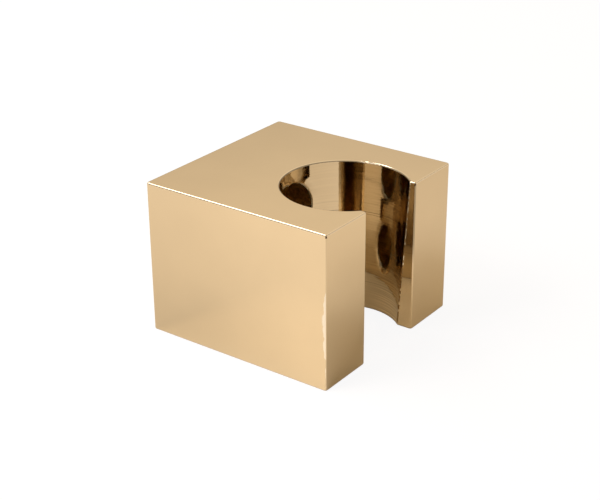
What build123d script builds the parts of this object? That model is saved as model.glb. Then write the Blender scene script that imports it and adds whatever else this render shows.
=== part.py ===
# Wall-mounted hand shower holder: one polished block of brass with a tapered socket, open
# to the front through a slot that lets the hose in, and two counterbored screw holes that
# run from the socket's back wall to the wall face.
#
# All sizes are in millimetres. The origin lies on the wall face, midway between the screws:
# +Y points into the wall, -Y towards the slot, +Z up, and X is the width.
from build123d import *

import os
from math import sqrt

# The block's outer sizes
body_width = 40.0
body_depth = 40.0
body_height = 30.0

# The tapered socket that takes the hose's cone nut
socket_top_diameter = 23.6
socket_bottom_diameter = 20.8

# The slot: its width, and the flat that is left of its sides at the top face
slot_width = 15.7
slot_lip = 1.2

# The two screw holes: their spacing, the through hole for the shank, the bore for the
# head, and the metal that the head clamps against the wall
screw_spacing = 15.0
shank_hole_diameter = 4.5
head_bore_diameter = 9.0
head_seat_thickness = 4.0

# The polished roundings: on the upright corners, on the rims of the top and the underside,
# on the two lines where the socket's wall meets the slot's sides, and on the mouths of the
# head bores
corner_radius = 0.6
rim_radius = 0.3
throat_edge_radius = 0.2
head_bore_edge_radius = 0.5

# How far a cutting tool runs past the faces that it opens
overrun = 2.0

socket_top_radius = socket_top_diameter / 2
socket_bottom_radius = socket_bottom_diameter / 2
slot_half_width = slot_width / 2
front_y = -body_depth

# At the top face the socket's circle meets the slot's sides where the lip ends
axis_setback = slot_lip + sqrt(socket_top_radius**2 - slot_half_width**2)
axis_y = front_y + axis_setback


def block():
    """The plain block, with its wall face on the plane Y = 0."""
    return Pos(0, front_y / 2, 0) * Box(body_width, body_depth, body_height)


def socket_cut():
    """The tapered socket, carried on with the same taper past the top and the underside."""
    taper = (socket_top_radius - socket_bottom_radius) / body_height
    cone = Cone(
        bottom_radius=socket_bottom_radius - taper * overrun,
        top_radius=socket_top_radius + taper * overrun,
        height=body_height + 2 * overrun,
    )
    return Pos(0, axis_y, 0) * cone


def slot_cut():
    """The slot, from in front of the block back to the socket's axis."""
    length = axis_setback + overrun
    slot = Box(slot_width, length, body_height + 2 * overrun)
    return Pos(0, axis_y - length / 2, 0) * slot


def screw_hole_cut(height):
    """One screw hole: the bore for the head down to its seat, and the shank's hole beyond."""
    towards_wall = Plane((0, axis_y, height), x_dir=(1, 0, 0), z_dir=(0, 1, 0))
    from_axis = (Align.CENTER, Align.CENTER, Align.MIN)
    head_bore = Cylinder(
        radius=head_bore_diameter / 2,
        height=-head_seat_thickness - axis_y,
        align=from_axis,
    )
    shank_hole = Cylinder(
        radius=shank_hole_diameter / 2,
        height=overrun - axis_y,
        align=from_axis,
    )
    return towards_wall * (head_bore + shank_hole)


def upright_corners(solid):
    """The block's four corners, and the slot's two at the front."""
    return solid.edges().filter_by(Axis.Z)


def rims(solid):
    """Every edge of the top and the underside, round the socket and the slot too."""
    return solid.faces().filter_by(Axis.Z).edges()


def throat_edges(solid):
    """The curved edges of the slot's flat sides, where they meet the socket's wall."""
    slot_sides = solid.faces().filter_by(Axis.X).sort_by(Axis.X)[1:-1]
    return slot_sides.edges().filter_by(GeomType.LINE, reverse=True)


def head_bore_mouths(solid):
    """The closed curves in which the head bores open through the socket's wall."""
    curves = solid.edges().filter_by(GeomType.BSPLINE)
    return curves.filter_by(lambda curve: curve.is_closed)


def holder_body():
    body = block() - socket_cut() - slot_cut()
    body = fillet(upright_corners(body), corner_radius)
    body = fillet(rims(body), rim_radius)
    body = fillet(throat_edges(body), throat_edge_radius)
    for height in (screw_spacing / 2, -screw_spacing / 2):
        body -= screw_hole_cut(height)
    return fillet(head_bore_mouths(body), head_bore_edge_radius)


os.makedirs("parts", exist_ok=True)
export_step(holder_body(), "parts/body.step")
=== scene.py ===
from math import cos, pi, radians, sin

import bpy
from mathutils import Matrix, Vector


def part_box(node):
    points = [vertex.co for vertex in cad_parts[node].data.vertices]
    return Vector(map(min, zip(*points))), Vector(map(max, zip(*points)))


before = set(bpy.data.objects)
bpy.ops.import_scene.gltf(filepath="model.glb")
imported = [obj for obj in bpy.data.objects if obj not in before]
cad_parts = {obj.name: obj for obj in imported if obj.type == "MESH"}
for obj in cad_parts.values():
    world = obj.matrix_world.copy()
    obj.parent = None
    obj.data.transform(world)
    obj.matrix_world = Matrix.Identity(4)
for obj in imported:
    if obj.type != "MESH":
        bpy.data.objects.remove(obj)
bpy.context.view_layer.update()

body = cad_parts["body"]
mm = 0.001
quarter_turn = radians(90)
white = (1.0, 1.0, 1.0)

# The block, as model.glb gives it: the wall face lies on Y = 0 and the slot at the front
low, high = (Vector(corner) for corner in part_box("body"))

# The outer faces: how near the block's outline their points lie. The buffing keeps strictly
# to their flats, where the normal points along an axis too.
face_reach = 0.1 * mm
flat_reach = 0.01 * mm
flat_normal = 0.999

# The tapered socket: its axis, its radius at mid-height and its slope, and how far a point
# and its normal may lie off the taper and still belong to it
socket_axis_y = -29.990 * mm
socket_middle_radius = 11.1 * mm
socket_slope = 1.4 / 30.0
wall_tolerance = 0.05 * mm
wall_agreement = cos(radians(5))

# The slot's flat sides, and how far from the middle their front corners still belong to it
throat_half_width = 7.85 * mm
slot_reach = 8.2 * mm

# The two head bores and their rounded mouths in the socket's wall, and the space that they
# take up behind it, up to just short of the wall face
bore_heights = (7.5 * mm, -7.5 * mm)
head_bore_radius = 4.5 * mm
mouth_radius = 5.0 * mm
mouth_start = 0.06 * mm
mouth_end = 0.40 * mm
bores_half_width = 5.1 * mm
bores_half_height = 12.6 * mm
wall_face_margin = 0.2 * mm

# The dish that polishing has worn round the mouths of the bores
dish_radius = 6.8 * mm
dish_slope = 0.22
dish_depth = 1.0 * mm

# The metal: polished gold, greyer on the rounded mouths of the head bores, and raw and
# turned inside the bores, where its colour is darkened further as painted shade
gold_colour = (0.82, 0.69, 0.49)
mouth_colour = (0.50, 0.50, 0.48)
bore_colour_and_shade = (0.52, 0.35, 0.12)
bore_roughness = 0.45

# The patterns that noise lays over the metal. Each has its scale and its detail, the levels
# of the noise between which it changes, and its value at each of the two.
tone_patches = (90.0, 4.0, 0.3, 0.7, 0.985, 1.015)
bore_grain = (1500.0, 2.0, 0.3, 0.7, 0.75, 1.25)
gold_roughness = (400.0, 5.0, 0.35, 0.75, 0.035, 0.060)
buffed_widths = (170.0, 3.0, 0.25, 0.75, 0.75 * mm, 1.95 * mm)
glint_widths = (260.0, 4.0, 0.32, 0.68, 0.2975 * mm, 1.0625 * mm)
burr_slopes = (1 / (1.1 * mm), 3.0, 0.42, 0.56, 0.0, 0.75)

# The painted shade on the socket's wall and on the slot's sides, as tones: behind the axis, and
# inside the two arms at the foot, where it is painted light, and towards the top, where it is
# deep painted shade. They fade into each other between two places in front of and behind the
# axis, and between two heights, which lie higher in the slot.
wall_painted_shade = 0.91
arm_foot_painted_light = 1.15
arm_top_painted_shade = 0.54
arm_fade_y = (2.0 * mm, -4.0 * mm)
arm_fade_z = (-9.0 * mm, -2.0 * mm)
slot_fade_rise = 6.0 * mm

# The outer sides' painted light and shade, as tones at the wall and at the front, and at the
# foot and further up
side_painted_tones = (0.92, 1.10)
side_foot_painted_shade = (0.90, 1.01)
side_foot_height = 17.0 * mm

# The painted light and shade on the two front faces, as tones at the foot and at the top, on the
# sides of -X and +X
left_front_painted_tones = (0.86, 1.12)
right_front_painted_tones = (1.07, 1.0)

# How far the burr on the throat's two edges reaches off them
burr_reach = 0.14 * mm

# The turning marks on the socket's wall, stronger inside the arms: fine rings that wander a
# little round the wall, with the shades in and between them, and chatter across them
ring_pitch = 0.30 * mm
ring_wander = 0.15
ring_detail = 3.0
ring_slope = 0.03
ring_levels = (0.38, 0.62)
ring_shades = (-1.0, 0.4)
ring_contrast = 0.03
arm_ring_contrast = 0.28
chatter_pitch = 0.16 * mm
chatter_length = 3.5 * mm
chatter_detail = 2.0
chatter_layer = 7.0
chatter_slope = 0.012
arm_chatter_slope = 0.08

# The few deeper grooves among them, each given as height, half width and depth
groove_slope = 0.05
groove_shade = 0.6
grooves = (
    (6.85 * mm, 0.09 * mm, 0.25),
    (5.05 * mm, 0.10 * mm, 0.80),
    (4.62 * mm, 0.09 * mm, 0.70),
    (-5.60 * mm, 0.08 * mm, 0.30),
    (-7.50 * mm, 0.08 * mm, 0.30),
    (-9.35 * mm, 0.12 * mm, 0.35),
)

# The upright corners: how near the wall face and the front they lie, and the part of their
# turn, in angle from one side to the other, in which the polished metal really turns
corner_reach = 0.7 * mm
corner_crease = (radians(27), radians(63))

# The rims: how near the top, the underside and the front they lie, the same part of their
# turn, and how far the normal of a straight one may lean towards a corner
rim_reach = 0.32 * mm
rim_crease = (radians(29), radians(61))
rim_lean = 0.2

# The colours of the painted highlight on the top's rims and the painted shade on the
# underside's rims, and the upright parts of the normal between which they begin at the sides
# and end at the top
rim_highlight_colour = (0.95, 0.84, 0.66)
foot_rim_shade = (0.60, 0.48, 0.32)
rim_from_side = (0.10, 0.25)
rim_from_top = (0.998, 0.97)

# The left rim's painted highlight, as tones at the wall and at the front
left_rim_highlight_tones = (0.90, 1.0)

# The painted highlight in waves beside one upright front edge, a pale reflection laid into the
# colour: its reach round the corner, the heights between which it dies out upwards and narrows
# to a share of its width downwards, its least width and how softly it ends
painted_glint_colour = (1.0, 0.95, 0.86)
glint_reach = 0.15 * mm
glint_top = (6.2 * mm, 1.2 * mm)
glint_foot = (-15.0 * mm, -1.0 * mm)
glint_foot_shares = (0.25, 1.0)
glint_least = 0.02 * mm
glint_end = (1.1, 0.75)

# The painted dark reflection on the tips of two front corners, just under the rims: its reach
# from the corner's faces, and the depths below the top between which it lies
tip_dark_reflection = (0.10, 0.07, 0.05)
tip_reach = 0.30 * mm
tip_lowest = 0.65 * mm
tip_highest = 0.25 * mm

# How far buffing has bent the flat sides at their upright edges
buffed_slope = 0.10

# How far the flat faces' normals lead over those of the roundings
flat_face_weight = 100

# The camera's place and direction, fitted to the photograph's edges
camera_place = Vector((-187.566, -157.941, 109.077)) * mm
camera_azimuth = radians(-53.6355)
camera_elevation = radians(25.255)
camera_roll = radians(-0.4111)
camera_lens = 81.923
sensor_width = 36.0

# The softboxes: azimuth and elevation of the middle, distance, width, height and radiance.
# Azimuth 0 lies in front of the slot, and 90 degrees on the side of +X. As lamps they light
# only the floor, and the metal mirrors those named below through the world.
light_colour = (1.0, 0.93, 0.86)
softboxes = {
    "key": (radians(-112), radians(38), 0.60, 0.197, 0.331, 4.5),
    "side": (radians(-132), radians(40), 0.60, 0.197, 0.331, 2.8),
    "back": (radians(-162), radians(42), 0.60, 0.290, 0.200, 4.2),
    "fill": (radians(-130), radians(45), 0.60, 0.290, 0.208, 3.3),
}
mirrored = ("key", "side", "back")

# Metal that the camera sees directly mirrors the softboxes at this lower radiance, and also
# a small bright lamp high behind the block, which shines in its rims. A ray that has met no
# other surface reaches the room with a lower depth than the one given here.
mirrored_radiance = 0.95
direct_depth = 2.5
spot_glow = 7.0
spot_azimuth = radians(180)
spot_elevation = radians(57)
spot_inner = cos(radians(7))
spot_outer = cos(radians(11))

# The room that the metal mirrors: dark, with a soft pale screen behind the block on the side
# of +X, which its top mirrors, and paler overhead
room_colour = (1.0, 0.828, 0.616)
room_dark = 0.27
screen_glow = 0.88
screen_azimuth = radians(124)
screen_elevation = radians(45)
screen_inner = cos(radians(16))
screen_outer = cos(radians(35.5))
ceiling_glow = 0.62
ceiling_start = sin(radians(48))
ceiling_end = sin(radians(75))

# The room's even light on the floor
shade_colour = (1.0, 0.765, 0.49)
room_light = 0.56

# The floor: its grey for the light, and the plain white with a faint shadow seen on it
floor_grey = 0.85
floor_white = (0.872, 0.880, 0.895)
floor_shadow = 0.165
floor_size = 3.0

# How often light may go from wall to wall inside the socket
mirror_bounces = 10


def direction(azimuth, elevation):
    """The unit vector from the block towards a place in the room."""
    return Vector((
        sin(azimuth) * cos(elevation),
        -cos(azimuth) * cos(elevation),
        sin(elevation),
    ))


def link(tree, value, socket):
    """Sets a socket from a number, a vector or another node's output."""
    if isinstance(value, bpy.types.NodeSocket):
        tree.links.new(value, socket)
    else:
        socket.default_value = value


def maths(tree, operation, *values):
    node = tree.nodes.new("ShaderNodeMath")
    node.operation = operation
    for value, socket in zip(values, node.inputs):
        link(tree, value, socket)
    return node.outputs["Value"]


def vector_maths(tree, operation, *values, output="Vector"):
    node = tree.nodes.new("ShaderNodeVectorMath")
    node.operation = operation
    for value, socket in zip(values, node.inputs):
        link(tree, value, socket)
    return node.outputs[output]


def dot(tree, a, b):
    return vector_maths(tree, "DOT_PRODUCT", a, b, output="Value")


def length(tree, vector):
    return vector_maths(tree, "LENGTH", vector, output="Value")


def scaled(tree, vector, factor):
    node = tree.nodes.new("ShaderNodeVectorMath")
    node.operation = "SCALE"
    link(tree, vector, node.inputs[0])
    link(tree, factor, node.inputs["Scale"])
    return node.outputs["Vector"]


def split(tree, vector):
    node = tree.nodes.new("ShaderNodeSeparateXYZ")
    tree.links.new(vector, node.inputs["Vector"])
    return node.outputs["X"], node.outputs["Y"], node.outputs["Z"]


def join(tree, x, y, z):
    node = tree.nodes.new("ShaderNodeCombineXYZ")
    for value, name in zip((x, y, z), "XYZ"):
        link(tree, value, node.inputs[name])
    return node.outputs["Vector"]


def ramp(tree, value, start, end, low_value=0.0, high_value=1.0):
    """A smooth change from one value to another while the input goes from start to end."""
    node = tree.nodes.new("ShaderNodeMapRange")
    node.interpolation_type = "SMOOTHSTEP"
    names = ("Value", "From Min", "From Max", "To Min", "To Max")
    for item, name in zip((value, start, end, low_value, high_value), names):
        link(tree, item, node.inputs[name])
    return node.outputs["Result"]


def noise(tree, vector, scale, detail):
    node = tree.nodes.new("ShaderNodeTexNoise")
    tree.links.new(vector, node.inputs["Vector"])
    node.inputs["Scale"].default_value = scale
    node.inputs["Detail"].default_value = detail
    return node.outputs["Fac"]


def pattern(tree, vector, scale, detail, start, end, low_value, high_value):
    """A value that noise moves between two others from place to place."""
    level = noise(tree, vector, scale, detail)
    return ramp(tree, level, start, end, low_value, high_value)


def mix_vectors(tree, factor, a, b):
    """The first vector at factor 0, the second at 1, and a mixture between."""
    node = tree.nodes.new("ShaderNodeMix")
    node.data_type = "VECTOR"
    link(tree, factor, node.inputs["Factor"])
    vectors = [socket for socket in node.inputs if socket.type == "VECTOR"]
    for value, name in ((a, "A"), (b, "B")):
        link(tree, value, next(socket for socket in vectors if socket.name == name))
    return next(socket for socket in node.outputs if socket.type == "VECTOR")


def mix_numbers(tree, factor, a, b):
    """The first number at factor 0, the second at 1, and a mixture between."""
    return maths(tree, "MULTIPLY_ADD", factor, maths(tree, "SUBTRACT", b, a), a)


def product(tree, *values):
    """The values' product. For conditions, each 1 or 0, it is 1 where all of them hold."""
    result = values[0]
    for value in values[1:]:
        result = maths(tree, "MULTIPLY", result, value)
    return result


def within(tree, value, reach):
    """1 where the value is nearer 0 than the reach, on either side."""
    return maths(tree, "LESS_THAN", maths(tree, "ABSOLUTE", value), reach)


def about_zero(tree, level):
    """Noise that runs from 0 to 1, made to run from -1 to 1."""
    return maths(tree, "MULTIPLY_ADD", level, 2.0, -1.0)


class Surface:
    """What the finish needs to know of a point: its place, and where it lies on the socket."""

    def __init__(self, tree):
        self.tree = tree
        self.place = tree.nodes.new("ShaderNodeTexCoord").outputs["Object"]
        geometry = tree.nodes.new("ShaderNodeNewGeometry")
        self.normal = geometry.outputs["Normal"]
        self.facet_normal = geometry.outputs["True Normal"]
        self.x, self.y, self.z = split(tree, self.place)
        self.upright = join(tree, 0.0, 0.0, self.z)
        self.from_front = maths(tree, "SUBTRACT", self.y, low.y)
        self.from_axis_y = maths(tree, "SUBTRACT", self.y, socket_axis_y)
        self.behind_axis = maths(tree, "GREATER_THAN", self.from_axis_y, 0.0)
        self.before_axis = maths(tree, "LESS_THAN", self.from_axis_y, 0.0)
        self.in_arms = ramp(tree, self.from_axis_y, *arm_fade_y)
        self.radius = length(tree, join(tree, self.x, self.from_axis_y, 0.0))
        wall_radius = maths(tree, "MULTIPLY_ADD", self.z, socket_slope, socket_middle_radius)
        self.depth = maths(tree, "SUBTRACT", self.radius, wall_radius)


def socket_wall(surface):
    """The taper's exact normal, and 1 where the surface lies on the taper."""
    tree = surface.tree
    inwards = join(
        tree,
        maths(tree, "MULTIPLY", surface.x, -1.0),
        maths(tree, "MULTIPLY", surface.from_axis_y, -1.0),
        maths(tree, "MULTIPLY", surface.radius, socket_slope),
    )
    exact = vector_maths(tree, "NORMALIZE", inwards)
    agreement = dot(tree, exact, surface.facet_normal)
    along = maths(tree, "GREATER_THAN", agreement, wall_agreement)
    return exact, product(tree, within(tree, surface.depth, wall_tolerance), along)


def groove_profile(surface, height, half_width):
    """1 in the middle of a groove and 0 past its edges, and the place across it."""
    tree = surface.tree
    across = maths(tree, "DIVIDE", maths(tree, "SUBTRACT", surface.z, height), half_width)
    square = maths(tree, "MULTIPLY", across, across)
    return maths(tree, "MAXIMUM", maths(tree, "SUBTRACT", 1.0, square), 0.0), across


def turning_marks(surface):
    """The upward and sideways slopes of the turned wall, and the shade of its marks."""
    tree = surface.tree
    angle = maths(tree, "ARCTAN2", surface.x, surface.from_axis_y)
    around = maths(tree, "MULTIPLY", angle, socket_middle_radius / chatter_length)
    up = maths(tree, "DIVIDE", surface.z, ring_pitch)
    ring_place = join(tree, maths(tree, "MULTIPLY", around, ring_wander), up, 0.0)
    rings = noise(tree, ring_place, 1.0, ring_detail)
    fine_up = maths(tree, "DIVIDE", surface.z, chatter_pitch)
    chatter = noise(tree, join(tree, around, fine_up, chatter_layer), 1.0, chatter_detail)

    upward = maths(tree, "MULTIPLY", about_zero(tree, rings), ring_slope)
    chatter_size = mix_numbers(tree, surface.in_arms, chatter_slope, arm_chatter_slope)
    sideways = maths(tree, "MULTIPLY", about_zero(tree, chatter), chatter_size)
    contrast = mix_numbers(tree, surface.in_arms, ring_contrast, arm_ring_contrast)
    ring_shade = ramp(tree, rings, *ring_levels, *ring_shades)
    shade = maths(tree, "MULTIPLY_ADD", ring_shade, contrast, 1.0)
    for height, half_width, depth in grooves:
        inside, across = groove_profile(surface, height, half_width)
        upward = maths(tree, "ADD", upward, product(tree, inside, across, groove_slope * depth))
        darker = maths(tree, "MULTIPLY_ADD", inside, -groove_shade * depth, 1.0)
        shade = maths(tree, "MULTIPLY", darker, shade)
    return upward, sideways, shade


def bent(tree, normal, upward, sideways):
    """A normal leant upwards and sideways by two slopes."""
    side = vector_maths(tree, "CROSS_PRODUCT", (0.0, 0.0, 1.0), normal)
    leant = vector_maths(tree, "ADD", normal, join(tree, 0.0, 0.0, upward))
    leant = vector_maths(tree, "ADD", leant, scaled(tree, side, sideways))
    return vector_maths(tree, "NORMALIZE", leant)


def dished(surface, normal):
    """The normal round the bores' mouths, where polishing has worn the wall a little."""
    tree = surface.tree
    shallow = maths(tree, "LESS_THAN", surface.depth, dish_depth)
    for height in bore_heights:
        offset = join(tree, surface.x, 0.0, maths(tree, "SUBTRACT", surface.z, height))
        distance = length(tree, offset)
        outside = ramp(tree, distance, mouth_radius, dish_radius, dish_slope, 0.0)
        inside = ramp(tree, distance, head_bore_radius, mouth_radius)
        slope = product(tree, outside, inside, surface.behind_axis, shallow)
        lean = scaled(tree, offset, maths(tree, "DIVIDE", slope, distance))
        normal = vector_maths(tree, "SUBTRACT", normal, lean)
    return vector_maths(tree, "NORMALIZE", normal)


def burred(surface, normal):
    """The normal on the throat's two edges, where a fine burr catches the light in dots."""
    tree = surface.tree
    off_side = maths(tree, "SUBTRACT", maths(tree, "ABSOLUTE", surface.x), throat_half_width)
    on_edge = product(
        tree,
        within(tree, off_side, burr_reach),
        within(tree, surface.depth, burr_reach),
        surface.before_axis,
    )
    lean = pattern(tree, surface.upright, *burr_slopes)
    return mix_vectors(tree, on_edge, normal, bent(tree, normal, lean, 0.0))


def buffed_axis(tree, place, normal_part, start, end, width):
    """Along one axis: 1 on the two flat faces at its ends, and the other faces' lean there."""
    off_middle = maths(tree, "SUBTRACT", place, (start + end) / 2)
    distance = maths(tree, "ABSOLUTE", off_middle)
    to_edge = maths(tree, "SUBTRACT", (end - start) / 2, distance)
    faces_it = maths(tree, "GREATER_THAN", maths(tree, "ABSOLUTE", normal_part), flat_normal)
    on_face = product(tree, faces_it, maths(tree, "LESS_THAN", to_edge, flat_reach))
    lean = ramp(tree, maths(tree, "DIVIDE", to_edge, width), 0.0, 1.0, buffed_slope, 0.0)
    return on_face, product(tree, lean, maths(tree, "SIGN", off_middle))


def buffed(surface, normal):
    """The normal near the upright edges, where buffing has worn the flat sides."""
    tree = surface.tree
    width = pattern(tree, surface.place, *buffed_widths)
    nx, ny = split(tree, normal)[:2]
    on_x_face, lean_x = buffed_axis(tree, surface.x, nx, low.x, high.x, width)
    on_y_face, lean_y = buffed_axis(tree, surface.y, ny, low.y, high.y, width)
    along_x = product(tree, on_y_face, lean_x)
    along_y = product(tree, on_x_face, lean_y)
    leant = vector_maths(tree, "ADD", normal, join(tree, along_x, along_y, 0.0))
    return vector_maths(tree, "NORMALIZE", leant)


def creased(tree, first, second, start, end):
    """Two parts of a normal, turned so that they stay flat on both sides of a crease."""
    size = length(tree, join(tree, first, second, 0.0))
    run, rise = (maths(tree, "ABSOLUTE", part) for part in (first, second))
    angle = maths(tree, "ARCTAN2", rise, run)
    turn = ramp(tree, angle, start, end, 0.0, quarter_turn)
    return [
        product(tree, maths(tree, operation, turn), maths(tree, "SIGN", part), size)
        for operation, part in (("COSINE", first), ("SINE", second))
    ]


def creased_corners(surface, normal):
    """The upright corners' normals: flat up to a crisp crease in their middle."""
    tree = surface.tree
    from_wall = maths(tree, "SUBTRACT", high.y, surface.y)
    nearest = maths(tree, "MINIMUM", surface.from_front, from_wall)
    nx, ny, nz = split(tree, normal)
    crisp = join(tree, *creased(tree, nx, ny, *corner_crease), nz)
    near = maths(tree, "LESS_THAN", nearest, corner_reach)
    return mix_vectors(tree, near, normal, crisp)


def creased_rims(surface, normal):
    """The front rims' normals: flat up to a crease between the front and the level faces."""
    tree = surface.tree
    nx, ny, nz = split(tree, normal)
    crisp = join(tree, nx, *creased(tree, ny, nz, *rim_crease))
    near = maths(tree, "LESS_THAN", surface.from_front, rim_reach)
    return mix_vectors(tree, product(tree, near, within(tree, nx, rim_lean)), normal, crisp)


def near_bores(surface):
    """1 in the space that the two head bores and their mouths take up."""
    tree = surface.tree
    return product(
        tree,
        within(tree, surface.x, bores_half_width),
        within(tree, surface.z, bores_half_height),
        surface.behind_axis,
        maths(tree, "LESS_THAN", surface.y, -wall_face_margin),
    )


def inside_bores(surface):
    """1 in the head bores behind their polished mouths, and in the shank holes."""
    tree = surface.tree
    behind = maths(tree, "GREATER_THAN", surface.depth, mouth_end)
    return product(tree, behind, near_bores(surface))


def on_mouths(surface):
    """1 on the rounded mouths of the head bores."""
    tree = surface.tree
    past_wall = maths(tree, "GREATER_THAN", surface.depth, mouth_start)
    rounded = maths(tree, "LESS_THAN", surface.depth, mouth_end)
    return product(tree, past_wall, rounded, near_bores(surface))


def inner_painted_shade(surface):
    """Painted shade on the socket's wall and the slot's sides: deepest high up inside the arms.
    """
    tree = surface.tree
    on_wall = maths(tree, "LESS_THAN", surface.depth, wall_tolerance)
    in_slot = product(tree, within(tree, surface.x, slot_reach), surface.before_axis)
    height = maths(tree, "MULTIPLY_ADD", in_slot, -slot_fade_rise, surface.z)
    arm_tone = ramp(tree, height, *arm_fade_z, arm_foot_painted_light, arm_top_painted_shade)
    tone = mix_numbers(tree, surface.in_arms, wall_painted_shade, arm_tone)
    return mix_numbers(tree, maths(tree, "MAXIMUM", on_wall, in_slot), 1.0, tone)


def side_painted_light(surface):
    """Painted light and shade on the outer flat sides: lighter at the front, darker at the foot.
    """
    tree = surface.tree
    off_middle = maths(tree, "ABSOLUTE", surface.x)
    on_side = maths(tree, "GREATER_THAN", off_middle, high.x - face_reach)
    forward = ramp(tree, surface.y, high.y, low.y, *side_painted_tones)
    upward = ramp(tree, surface.z, low.z, low.z + side_foot_height, *side_foot_painted_shade)
    return mix_numbers(tree, on_side, 1.0, product(tree, forward, upward))


def front_painted_light(surface):
    """Painted light and shade on the two front faces, changing from foot to top."""
    tree = surface.tree
    on_front = maths(tree, "LESS_THAN", surface.y, low.y + face_reach)
    left = ramp(tree, surface.z, low.z, high.z, *left_front_painted_tones)
    right = ramp(tree, surface.z, low.z, high.z, *right_front_painted_tones)
    on_right = maths(tree, "GREATER_THAN", surface.x, 0.0)
    return mix_numbers(tree, on_front, 1.0, mix_numbers(tree, on_right, left, right))


def left_rim_highlight(surface):
    """The painted highlight's tone on the top rim on the side of -X, brighter at the front."""
    tree = surface.tree
    on_left = maths(tree, "LESS_THAN", surface.x, low.x + corner_reach)
    tone = ramp(tree, surface.y, high.y, low.y, *left_rim_highlight_tones)
    return mix_numbers(tree, on_left, 1.0, tone)


def on_rims(surface):
    """1 on the roundings between the level faces and the upright ones."""
    tree = surface.tree
    tilt = maths(tree, "ABSOLUTE", split(tree, surface.facet_normal)[2])
    off_middle = maths(tree, "ABSOLUTE", surface.z)
    near = maths(tree, "GREATER_THAN", off_middle, high.z - rim_reach)
    return product(tree, ramp(tree, tilt, *rim_from_side), ramp(tree, tilt, *rim_from_top), near)


def painted_glint(surface):
    """1 on the waves of painted highlight beside the upright front edge on the side of -X."""
    tree = surface.tree
    on_side = maths(tree, "LESS_THAN", surface.x, low.x + glint_reach)
    waves = pattern(tree, surface.upright, *glint_widths)
    above_foot = ramp(tree, surface.z, *glint_foot, *glint_foot_shares)
    under_top = ramp(tree, surface.z, *glint_top)
    width = maths(tree, "ADD", product(tree, waves, above_foot, under_top), glint_least)
    share = maths(tree, "DIVIDE", surface.from_front, width)
    return product(tree, ramp(tree, share, *glint_end), on_side)


def on_painted_dark_tips(surface):
    """1 where a dark reflection is painted: the front corners' tips on -X and the slot's far
    side.
    """
    tree = surface.tree
    outer = maths(tree, "LESS_THAN", surface.x, low.x + tip_reach)
    off_slot = maths(tree, "SUBTRACT", surface.x, throat_half_width)
    on_right = maths(tree, "GREATER_THAN", surface.x, 0.0)
    inner = product(tree, on_right, maths(tree, "LESS_THAN", off_slot, tip_reach))
    return product(
        tree,
        maths(tree, "MAXIMUM", outer, inner),
        maths(tree, "LESS_THAN", surface.y, low.y + tip_reach),
        maths(tree, "GREATER_THAN", surface.z, high.z - tip_lowest),
        maths(tree, "LESS_THAN", surface.z, high.z - tip_highest),
    )


def finished_colour(surface, on_wall, shade, in_bores):
    """The metal's colour: gold in its tones, what tools have left of it, and painted light and
    shade.
    """
    tree = surface.tree
    tone = product(
        tree,
        pattern(tree, surface.place, *tone_patches),
        mix_numbers(tree, on_wall, 1.0, shade),
        # Painted shade inside the socket, and painted light and shade on the outer sides and
        # fronts
        inner_painted_shade(surface),
        side_painted_light(surface),
        front_painted_light(surface),
    )
    colour = scaled(tree, gold_colour, tone)
    colour = mix_vectors(tree, on_mouths(surface), colour, mouth_colour)
    # The top rims get a painted highlight and the underside's rims a painted shade
    upper = maths(tree, "GREATER_THAN", surface.z, 0.0)
    top_rim_highlight = scaled(tree, rim_highlight_colour, left_rim_highlight(surface))
    rim_light_and_shade = mix_vectors(tree, upper, foot_rim_shade, top_rim_highlight)
    colour = mix_vectors(tree, on_rims(surface), colour, rim_light_and_shade)
    # A painted highlight in waves beside the front edge
    colour = mix_vectors(tree, painted_glint(surface), colour, painted_glint_colour)
    # Painted dark reflections on two corner tips
    colour = mix_vectors(tree, on_painted_dark_tips(surface), colour, tip_dark_reflection)
    # Inside the bores, raw turned metal whose colour is darkened as painted shade
    raw_and_shaded = scaled(tree, bore_colour_and_shade, pattern(tree, surface.place, *bore_grain))
    return mix_vectors(tree, in_bores, colour, raw_and_shaded)


def gold():
    material = bpy.data.materials.new("gold")
    material.use_nodes = True
    tree = material.node_tree
    shader = tree.nodes["Principled BSDF"]
    surface = Surface(tree)
    exact, on_wall = socket_wall(surface)
    upward, sideways, shade = turning_marks(surface)
    turned = bent(tree, exact, upward, sideways)
    outer = creased_rims(surface, creased_corners(surface, buffed(surface, surface.normal)))
    normal = burred(surface, dished(surface, mix_vectors(tree, on_wall, outer, turned)))
    tree.links.new(normal, shader.inputs["Normal"])

    in_bores = inside_bores(surface)
    colour = finished_colour(surface, on_wall, shade, in_bores)
    tree.links.new(colour, shader.inputs["Base Color"])
    roughness = pattern(tree, surface.place, *gold_roughness)
    roughness = mix_numbers(tree, in_bores, roughness, bore_roughness)
    tree.links.new(roughness, shader.inputs["Roughness"])
    shader.inputs["Metallic"].default_value = 1.0
    return material


def add_camera():
    back = direction(camera_azimuth, camera_elevation)
    turn = back.to_track_quat("Z", "Y").to_matrix() @ Matrix.Rotation(camera_roll, 3, "Z")
    data = bpy.data.cameras.new("camera")
    data.lens = camera_lens
    data.sensor_width = sensor_width
    camera = bpy.data.objects.new("camera", data)
    camera.matrix_world = Matrix.Translation(camera_place) @ turn.to_4x4()
    bpy.context.scene.collection.objects.link(camera)
    bpy.context.scene.camera = camera


def add_softbox(name, azimuth, elevation, distance, width, height, radiance):
    """A rectangular softbox that faces the block, hidden from the metal's mirror."""
    data = bpy.data.lights.new(name, "AREA")
    data.shape = "RECTANGLE"
    data.size = width
    data.size_y = height
    data.energy = radiance * width * height * pi
    data.color = light_colour
    towards = direction(azimuth, elevation)
    turn = towards.to_track_quat("Z", "Y").to_matrix().to_4x4()
    softbox = bpy.data.objects.new(name, data)
    softbox.matrix_world = Matrix.Translation(towards * distance) @ turn
    softbox.visible_glossy = False
    bpy.context.scene.collection.objects.link(softbox)


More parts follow.
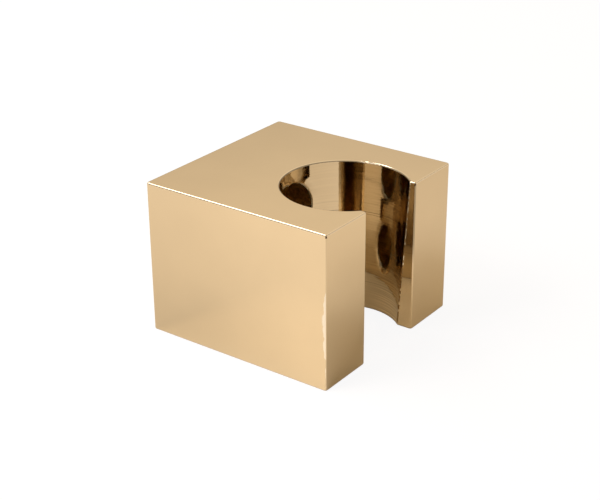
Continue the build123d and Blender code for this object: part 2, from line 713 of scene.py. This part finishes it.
def softbox_level(tree, looking, direct, azimuth, elevation, distance, width, height, radiance):
    """How bright the softbox is in a mirror that looks that way, and 0 beside it."""
    towards = direction(azimuth, elevation)
    turn = towards.to_track_quat("Z", "Y").to_matrix()
    ahead = dot(tree, looking, towards)
    inside = maths(tree, "GREATER_THAN", ahead, 0.0)
    for axis, size in ((turn.col[0], width), (turn.col[1], height)):
        slope = maths(tree, "DIVIDE", dot(tree, looking, axis), ahead)
        inside = product(tree, inside, within(tree, slope, size / 2 / distance))
    level = mix_numbers(tree, direct, radiance, mirrored_radiance)
    return product(tree, inside, level)


def lamps_level(tree, looking, direct):
    """How bright the softboxes and the small lamp are in a mirror that looks that way."""
    towards_spot = dot(tree, looking, direction(spot_azimuth, spot_elevation))
    spot = ramp(tree, towards_spot, spot_outer, spot_inner, 0.0, spot_glow)
    level = product(tree, spot, direct)
    for name in mirrored:
        softbox = softbox_level(tree, looking, direct, *softboxes[name])
        level = maths(tree, "MAXIMUM", level, softbox)
    return level


def room_level(tree, looking):
    """How bright the room is in a mirror that looks that way."""
    towards_screen = dot(tree, looking, direction(screen_azimuth, screen_elevation))
    screen = ramp(tree, towards_screen, screen_outer, screen_inner, room_dark, screen_glow)
    height = split(tree, looking)[2]
    overhead = ramp(tree, height, ceiling_start, ceiling_end, room_dark, ceiling_glow)
    return maths(tree, "MAXIMUM", overhead, screen)


def add_world():
    world = bpy.data.worlds.new("studio")
    world.use_nodes = True
    tree = world.node_tree
    background = tree.nodes["Background"]
    path = tree.nodes.new("ShaderNodeLightPath")
    looking = tree.nodes.new("ShaderNodeTexCoord").outputs["Generated"]
    direct = maths(tree, "LESS_THAN", path.outputs["Ray Depth"], direct_depth)
    room = scaled(tree, room_colour, room_level(tree, looking))
    lamps = scaled(tree, light_colour, lamps_level(tree, looking, direct))
    in_mirrors = vector_maths(tree, "MAXIMUM", room, lamps)
    on_floor = scaled(tree, shade_colour, room_light)
    lit = mix_vectors(tree, path.outputs["Is Glossy Ray"], on_floor, in_mirrors)
    seen = mix_vectors(tree, path.outputs["Is Camera Ray"], lit, white)
    tree.links.new(seen, background.inputs["Color"])
    background.inputs["Strength"].default_value = 1.0
    bpy.context.scene.world = world


def diffuse(tree, grey):
    node = tree.nodes.new("ShaderNodeBsdfDiffuse")
    node.inputs["Color"].default_value = (grey, grey, grey, 1.0)
    return node.outputs["BSDF"]


def paper():
    """Grey paper for the light, and plain white with a faint shadow for the camera."""
    material = bpy.data.materials.new("paper")
    material.use_nodes = True
    tree = material.node_tree
    tree.nodes.remove(tree.nodes["Principled BSDF"])
    plain = tree.nodes.new("ShaderNodeEmission")
    plain.inputs["Color"].default_value = (*floor_white, 1.0)
    seen = tree.nodes.new("ShaderNodeAddShader")
    tree.links.new(diffuse(tree, floor_shadow), seen.inputs[0])
    tree.links.new(plain.outputs["Emission"], seen.inputs[1])
    path = tree.nodes.new("ShaderNodeLightPath")
    mix = tree.nodes.new("ShaderNodeMixShader")
    tree.links.new(path.outputs["Is Camera Ray"], mix.inputs["Fac"])
    tree.links.new(diffuse(tree, floor_grey), mix.inputs[1])
    tree.links.new(seen.outputs["Shader"], mix.inputs[2])
    tree.links.new(mix.outputs["Shader"], tree.nodes["Material Output"].inputs["Surface"])
    return material


def add_floor():
    bpy.ops.mesh.primitive_plane_add(size=floor_size, location=(0, 0, low.z))
    floor = bpy.context.object
    floor.name = "floor"
    floor.data.materials.append(paper())


add_camera()
add_world()
for name, values in softboxes.items():
    add_softbox(name, *values)
add_floor()
body.material_slots[0].material = gold()
modifier = body.modifiers.new("flat_faces_lead", "WEIGHTED_NORMAL")
modifier.weight = flat_face_weight

scene = bpy.context.scene
scene.view_settings.view_transform = "Standard"
scene.cycles.glossy_bounces = mirror_bounces
scene.cycles.blur_glossy = 0.0
